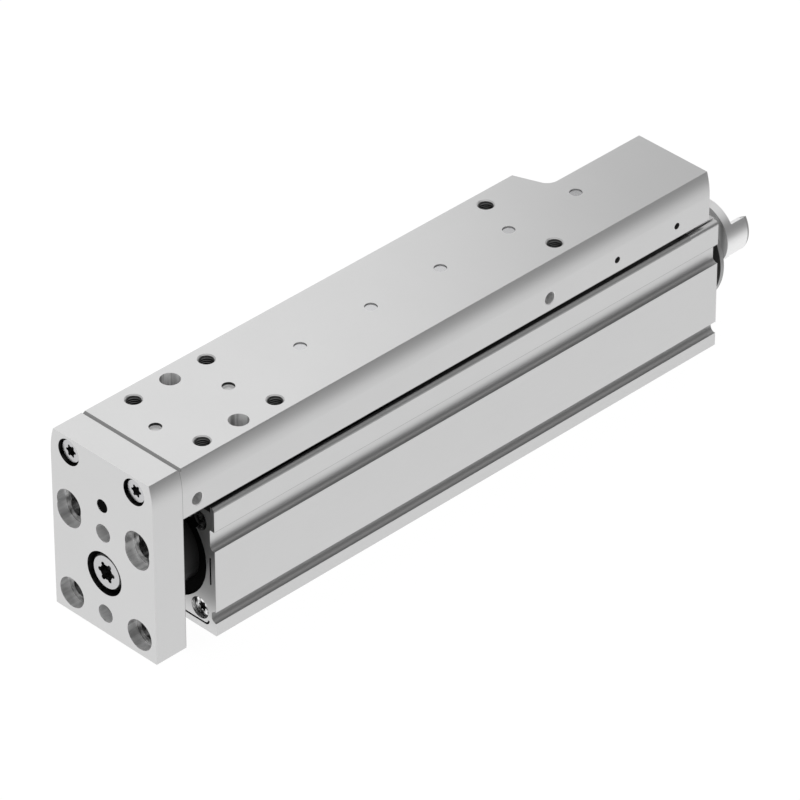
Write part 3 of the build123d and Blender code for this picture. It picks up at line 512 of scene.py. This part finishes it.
SLIDE_PLACES = (
    # Joint groove, then the holes that give access to the carriage's screws
    place((MIDDLE, -123.85, 66.9), (PAST_SIDE, -123.0, 67.74), light=0.40),
    hole_from_above(
        TOP_HOLE_X, ACCESS_HOLE, 3.6, 50.0, 67.72,
        light=1.0, dark=0.32, rough=0.3, metallic=0.10, stretch=ALONG_Z, scale=520.0,
    ),
    # Centring bores: a wall painted dark as shade, and a brighter floor
    *(hole_from_above(0.0, y, 2.4, 66.80, UNDER_TOP, light=0.04) for y in TOP_PINS),
    *(hole_from_above(0.0, y, 2.4, 66.40, 66.82, light=0.90, metallic=0.3) for y in TOP_PINS),
    # Threaded holes in the top, painted darker below their mouths as shade
    *(hole_from_above(TOP_HOLE_X, y, 3.2, 58.0, 67.3, light=0.30) for y in TOP_THREADS),
    # Side threads, and the two small holes behind them painted darker as shade
    *(
        place(
            (14.0, y - 2.4, 52.3), (UNDER_SIDE, y + 2.4, 57.2),
            light=1.0, dark=0.75, rough=0.4, metallic=0.7, stretch=ALONG_X,
        )
        for y in SIDE_THREADS
    ),
    place((15.0, 60.5, 53.2), (UNDER_SIDE, 90.6, 56.3), light=0.22),
    # Underside and guide channel, painted dark as shade
    place((MIDDLE, -123.9, 50.0), (22.4, SLIDE_END, 50.3), light=0.25),
    place((MIDDLE, -122.0, 50.0), (12.6, SLIDE_END, CHANNEL_CEILING), light=0.25),
)
print("places on plate and slide:", len(PLATE_PLACES), len(SLIDE_PLACES))

# %% [markdown]
# The housing's grooves are drawn with the extrusion. The upper one holds position sensors, and
# its colour is painted darker towards its lower lip as shade, with a thin painted dark line
# along its upper edge. The foot slot below takes the clamps that hold the slide down, and is
# painted darker as shade too.

# %% Places on the housing, the hub and the rod
GROOVE_PLACES = (
    # Painted shade: the sensor groove darkening downwards, a thin dark line at its upper edge,
    # and the foot slot
    place(
        (20.1, UNDER_CAP_FACE, 12.0), (UNDER_SIDE, HOUSING_END, 36.0),
        light=0.42, dark=0.38, fade=(0.02, 0.05, 4.5), stretch=DRAWN,
    ),
    place(
        (20.1, UNDER_CAP_FACE, 38.60), (22.6, HOUSING_END, 38.95), light=0.45, fade=THIN_LINE
    ),
    place(
        (20.1, UNDER_CAP_FACE, 3.6), (UNDER_SIDE, HOUSING_END, 8.97),
        light=0.42, fade=(0.02, 0.05, 0.4),
    ),
)
HOUSING_PLACES = GROOVE_PLACES + (
    # Painted shade: the recess under the slide with the inner part of its ledge dark, then the
    # rounded ledge lighter
    place((MIDDLE, -115, RECESS_FLOOR), (21.3, BARREL_END, LEDGE_TOP), light=0.16),
    place((21.3, -115, 46.0), (PAST_SIDE, BARREL_END, LEDGE_TOP), light=0.50),
)
FRONT_CAP_PLACES = HOUSING_PLACES + (
    # Front face, which the slide shades from above
    place(
        (MIDDLE, CAP_FACE - 0.06, 1.0), (PAST_SIDE, CAP_FACE + 0.06, 62.0),
        light=0.42, fade=(0.02, 0.02, 16.0),
    ),
    # Sinks of the corner screws: the low ones bright, the high ones painted dark as shade
    place(
        (10.9, UNDER_CAP_FACE, 3.3), (19.2, CAP_BACK, 11.1),
        light=1.0, dark=0.45, rough=0.15, metallic=0.8, stretch=ALONG_Y,
    ),
    place(
        (10.9, UNDER_CAP_FACE, 36.5), (19.2, CAP_BACK, 44.2),
        light=0.80, dark=0.10, rough=0.2, stretch=ALONG_Y,
    ),
    # Bore of the rod, covered by two boxes, then the thin slits at the side and below, all
    # painted black as shade
    place((MIDDLE, UNDER_CAP_FACE, 11.1), (18.0, CAP_BACK, 36.5), light=SHADE_BLACK),
    place((MIDDLE, UNDER_CAP_FACE, 8.0), (11.0, CAP_BACK, 41.6), light=SHADE_BLACK),
    place((19.6, UNDER_CAP_FACE, 18.0), (20.8, CAP_BACK, 28.7), light=SHADE_BLACK),
    place((MIDDLE, UNDER_CAP_FACE, 2.0), (20.8, CAP_BACK, 3.3), light=SHADE_BLACK),
)
REAR_CAP_PLACES = GROOVE_PLACES + (
    # Neck and the flange's face, which stand in the housing's shade
    place((MIDDLE, 108.55, 0), (20.0, 114.1, 47.0), light=0.14),
    place((MIDDLE, 114.08, 0), (20.0, 115.7, 47.0), light=0.42),
)
HUB_PLACES = (
    # Front face and its edge painted darker as shade, and the tapered end of the claws painted
    # dark as shade
    place((MIDDLE, 125.4, 10), (11.0, 125.6, 40), light=0.75),
    place((6.0, 125.4, 10), (11.3, 125.6, 40), light=0.34, fade=(3.0, 0.02, 0.02)),
    place((7.1, 134.7, 17.0), (12.0, 135.97, 32.5), light=0.36, fade=(0.02, 0.3, 0.02)),
)
ROD_PLACES = (
    # Painted dark reflection of the gap behind the plate, on the chrome
    place((MIDDLE, -145.0, 14.0), (30, -91.0, 60.0), light=0.05, fade=(0.02, 20.0, 9.0)),
)
print("places on cap, hub and rod:", len(FRONT_CAP_PLACES), len(HUB_PLACES), len(ROD_PLACES))

# %% [markdown]
# ## Metals
# Satin aluminium comes in one tone for plate, slide and housing, since all are anodised
# together. The plate's screws are bright zinc-plated steel, with their sockets painted black
# as shade. The front cap's are black and glossy, with painted highlight blotches on their
# heads and painted shade below. The rod is hard chromed, with a painted dark reflection of the
# gap.

# %% Metals
SATIN = (0.70, 0.70, 0.70)
PLATE_SCREW_FACE = -135.0
ROD_SCREW_FACE = -135.2
CAP_SCREW_FACE = -110.2
CAP_SCREW_RIM = 0.4
SCREW_REACH = 40


def screw_depths(start, end, **look):
    """A place across all the screws of a node, between two depths along Y."""
    return place((MIDDLE, start, 0), (30, end, 80), **look)


def below_face(face):
    """Everything deeper than a screw's face, its socket and the side of its head, painted dark
    as shade.
    """
    return (screw_depths(face + 0.06, face + SCREW_REACH, light=0.12, dark=0.01, scale=900.0),)


def satin(name, places=(), stretch=EVEN):
    """Anodised aluminium with a soft sheen."""
    return metal(
        name, SATIN, roughness=0.36, stretch=stretch, scale=2500.0, bump=0.10, metallic=0.9,
        places=places,
    )


def turned(name, colour, places=()):
    """Bare turned aluminium, with the fine rings of the lathe."""
    return metal(
        name, colour, roughness=0.36, stretch=SPUN, scale=900.0, bump=0.12, metallic=0.8,
        places=places,
    )


def screw_finish(name, places=()):
    """Zinc-plated steel."""
    return metal(
        name, (0.60, 0.60, 0.61), roughness=0.26, scale=1800.0, bump=0.08, tint=0.12,
        places=places,
    )


plate_aluminium = satin("plate_aluminium", PLATE_PLACES)
slide_aluminium = satin("slide_aluminium", SLIDE_PLACES)
front_cap_aluminium = satin("front_cap_aluminium", FRONT_CAP_PLACES)
rear_cap_aluminium = satin("rear_cap_aluminium", REAR_CAP_PLACES)
extruded_aluminium = satin("extruded_aluminium", HOUSING_PLACES, DRAWN)
turned_aluminium = turned("turned_aluminium", (0.85, 0.85, 0.85))
hub_aluminium = turned("hub_aluminium", (0.95, 0.95, 0.95), HUB_PLACES)
screw_steel = screw_finish("screw_steel")
plate_screw_steel = screw_finish("plate_screw_steel", below_face(PLATE_SCREW_FACE))
rod_screw_steel = screw_finish("rod_screw_steel", below_face(ROD_SCREW_FACE))
black_screw_steel = metal(
    "black_screw_steel", (0.30, 0.30, 0.30), roughness=0.14, scale=900.0, bump=0.6,
    places=(
        # Painted highlight blotches on the head's face, then painted shade deeper down
        screw_depths(
            CAP_SCREW_FACE - 0.1, CAP_SCREW_FACE + CAP_SCREW_RIM,
            light=0.90, dark=0.04, rough=0.12, metallic=1.0, scale=650.0,
        ),
        screw_depths(
            CAP_SCREW_FACE + CAP_SCREW_RIM, CAP_SCREW_FACE + SCREW_REACH,
            light=0.30, dark=0.01, scale=900.0,
        ),
    ),
)
chromed_steel = metal(
    "chromed_steel", (0.30, 0.30, 0.31), roughness=0.14, stretch=GROUND, scale=1200.0,
    bump=0.04, places=ROD_PLACES,
)
ground_steel = metal(
    "ground_steel", (0.07, 0.07, 0.072), roughness=0.20, stretch=GROUND, scale=1200.0,
    bump=0.08,
)
bearing_steel = metal(
    "bearing_steel", (0.20, 0.20, 0.21), roughness=0.18, stretch=ROLLED, scale=1500.0,
    bump=0.05,
)
# Thread turns are painted dark, as the shade inside the tapped holes
painted_shade_thread = metal(
    "painted_shade_thread", (0.16, 0.16, 0.16), roughness=0.30, scale=1800.0, bump=0.08, tint=0.12
)
print("metals:", len(bpy.data.materials))

# %% [markdown]
# ## Soft and moulded pieces
# The wiper and buffers are black rubber, and the bush, guide ring and return caps are
# dark moulded plastic. Both are dull, with fine speckle in their roughness.

# %% Plastic and rubber


def moulded(name, colour, roughness, shine=0.4):
    """A dull moulded or pressed material, with its own amount of shine."""
    material = metal(name, colour, roughness, scale=3500.0, bump=0.25, tint=0.25, metallic=0.0)
    principled(material).inputs["Specular IOR Level"].default_value = shine
    return material


guide_plastic = moulded("guide_plastic", (0.045, 0.045, 0.05), roughness=0.45)
# Black rubber, pushed to near-zero colour and shine so the wiper and port plug read as painted
# shade of deep openings
seal_rubber = moulded("seal_rubber", (0.002, 0.002, 0.002), roughness=0.8, shine=0.03)
magnet_ferrite = moulded("magnet_ferrite", (0.05, 0.048, 0.047), roughness=0.35)
print("finishes:", len(bpy.data.materials))

# %% [markdown]
# Every CAD node gets one of these finishes, the hidden ones too, because a slide that is
# taken apart or cut open should look right inside.

# %% Give every CAD node its finish
FINISHES = {
    "barrel_profile": extruded_aluminium,
    "front_cap": front_cap_aluminium,
    "rear_bearing_cap": rear_cap_aluminium,
    "slide_bar": slide_aluminium,
    "yoke_plate": plate_aluminium,
    "piston_head": turned_aluminium,
    "coupling_hub": hub_aluminium,
    "front_cap_screws": black_screw_steel,
    "rear_cap_screws": screw_steel,
    "plate_screws": plate_screw_steel,
    "rod_screw": rod_screw_steel,
    "rail_screws": screw_steel,
    "carriage_screws": screw_steel,
    "bearing_lock_nut": screw_steel,
    "bearing_retaining_ring": screw_steel,
    "piston_rod": chromed_steel,
    "spindle": ground_steel,
    "spindle_nut": bearing_steel,
    "guide_rail": bearing_steel,
    "guide_carriage": bearing_steel,
    "guide_balls": bearing_steel,
    "bearing_outer_rings": bearing_steel,
    "bearing_inner_rings": bearing_steel,
    "bearing_balls": bearing_steel,
    "rod_wiper": seal_rubber,
    "grease_port_plug": seal_rubber,
    "end_buffers": seal_rubber,
    "rod_guide_bush": guide_plastic,
    "carriage_end_caps": guide_plastic,
    "piston_guide_ring": guide_plastic,
    "spindle_support_bush": guide_plastic,
    "magnet_ring": magnet_ferrite,
}
for name, material in FINISHES.items():
    mesh = nodes[name].data
    mesh.materials.clear()
    mesh.materials.append(material)
print("dressed:", len(FINISHES), "of", len(nodes))

# %% [markdown]
# ## Thread turns
# CAD leaves the tapped holes plain, but the photograph shows their thread as dark and light
# lines. A thread is one ridge that winds up a helix, so Geometry Nodes sweeps a small
# four-sided ridge along a spiral and places one copy in each hole. Half of the ridge lies in
# the wall, so what shows is its inner edge.

# %% Thread tree
THREAD_PITCH = 0.8 * MM
THREAD_WALL_RADIUS = 2.5 * MM
THREAD_RIDGE = 0.42 * MM
THREAD_TURNS = 9.0
STEPS_A_TURN = 20
RIDGE_SIDES = 4


def thread_tree():
    """Points with an inward direction in; one swept thread coil at each point out."""
    tree = bpy.data.node_groups.new("thread_in_holes", "GeometryNodeTree")
    add_socket(tree, "Holes", "NodeSocketGeometry")
    add_socket(tree, "Wall radius", "NodeSocketFloat", value=THREAD_WALL_RADIUS)
    add_socket(tree, "Pitch", "NodeSocketFloat", value=THREAD_PITCH)
    add_socket(tree, "Turns", "NodeSocketFloat", value=THREAD_TURNS)
    add_socket(tree, "Ridge", "NodeSocketFloat", value=THREAD_RIDGE)
    add_socket(tree, "Finish", "NodeSocketMaterial")
    add_socket(tree, "Coils", "NodeSocketGeometry", "OUTPUT")
    new, link = tree.nodes.new, tree.links.new
    entry, leave = new("NodeGroupInput"), new("NodeGroupOutput")

    length = new("ShaderNodeMath")
    length.operation = "MULTIPLY"
    link(entry.outputs["Pitch"], length.inputs[0])
    link(entry.outputs["Turns"], length.inputs[1])
    helix = new("GeometryNodeCurveSpiral")
    helix.inputs["Resolution"].default_value = STEPS_A_TURN
    link(entry.outputs["Turns"], helix.inputs["Rotations"])
    link(entry.outputs["Wall radius"], helix.inputs["Start Radius"])
    link(entry.outputs["Wall radius"], helix.inputs["End Radius"])
    link(length.outputs["Value"], helix.inputs["Height"])

    ridge = new("GeometryNodeCurvePrimitiveCircle")
    ridge.inputs["Resolution"].default_value = RIDGE_SIDES
    link(entry.outputs["Ridge"], ridge.inputs["Radius"])
    sweep = new("GeometryNodeCurveToMesh")
    link(helix.outputs["Curve"], sweep.inputs["Curve"])
    link(ridge.outputs["Curve"], sweep.inputs["Profile Curve"])

    inward = new("GeometryNodeInputNamedAttribute")
    inward.data_type = "FLOAT_VECTOR"
    inward.inputs["Name"].default_value = "inward"
    turn = new("FunctionNodeAlignRotationToVector")
    turn.axis = "Z"
    link(inward.outputs["Attribute"], turn.inputs["Vector"])
    copies = new("GeometryNodeInstanceOnPoints")
    link(entry.outputs["Holes"], copies.inputs["Points"])
    link(sweep.outputs["Mesh"], copies.inputs["Instance"])
    link(turn.outputs["Rotation"], copies.inputs["Rotation"])
    real = new("GeometryNodeRealizeInstances")
    link(copies.outputs["Instances"], real.inputs["Geometry"])
    finish = new("GeometryNodeSetMaterial")
    link(real.outputs["Geometry"], finish.inputs["Geometry"])
    link(entry.outputs["Finish"], finish.inputs["Material"])
    link(finish.outputs["Geometry"], leave.inputs["Coils"])
    return tree


THREAD_TREE = thread_tree()
print("thread tree nodes:", len(THREAD_TREE.nodes))

# %% [markdown]
# Each row of holes is a few points, with the direction into the metal stored on them.
# The modifier's result becomes a plain mesh, so that the piece can ride on its body.

# %% Thread pieces


def socket_id(tree, name):
    """A modifier finds a group's input by this identifier, not by its name."""
    return next(item.identifier for item in tree.interface.items_tree if item.name == name)


def threads(name, holes, inward, body, slot, finish, **values):
    """One mesh with a thread coil in each hole, riding on a body."""
    points = bpy.data.meshes.new(name + "_points")
    points.from_pydata(holes, [], [])
    stored = points.attributes.new("inward", "FLOAT_VECTOR", "POINT")
    for item in stored.data:
        item.vector = inward
    piece = bpy.data.objects.new(name, points)
    scene.collection.objects.link(piece)
    grow = piece.modifiers.new("coils", "NODES")
    grow.node_group = THREAD_TREE
    grow[socket_id(THREAD_TREE, "Finish")] = finish
    for label, value in values.items():
        grow[socket_id(THREAD_TREE, label.replace("_", " "))] = value
    depsgraph = bpy.context.evaluated_depsgraph_get()
    plain = bpy.data.meshes.new_from_object(piece.evaluated_get(depsgraph))
    piece.modifiers.remove(grow)
    piece.data = plain
    for face in plain.polygons:
        face.use_smooth = True
    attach(piece, body)
    print(name, "faces", len(plain.polygons))
    return piece


COIL_START = SLIDE_TOP - 0.7
top_holes = [
    (side * TOP_HOLE_X * MM, y * MM, COIL_START * MM)
    for side in (-1, 1)
    for y in TOP_THREADS
]
threads(
    "slide_top_thread_turns",
    top_holes,
    (0, 0, -1),
    "slide",
    "slide_aluminium",
    painted_shade_thread,
    Turns=THREAD_TURNS,
)
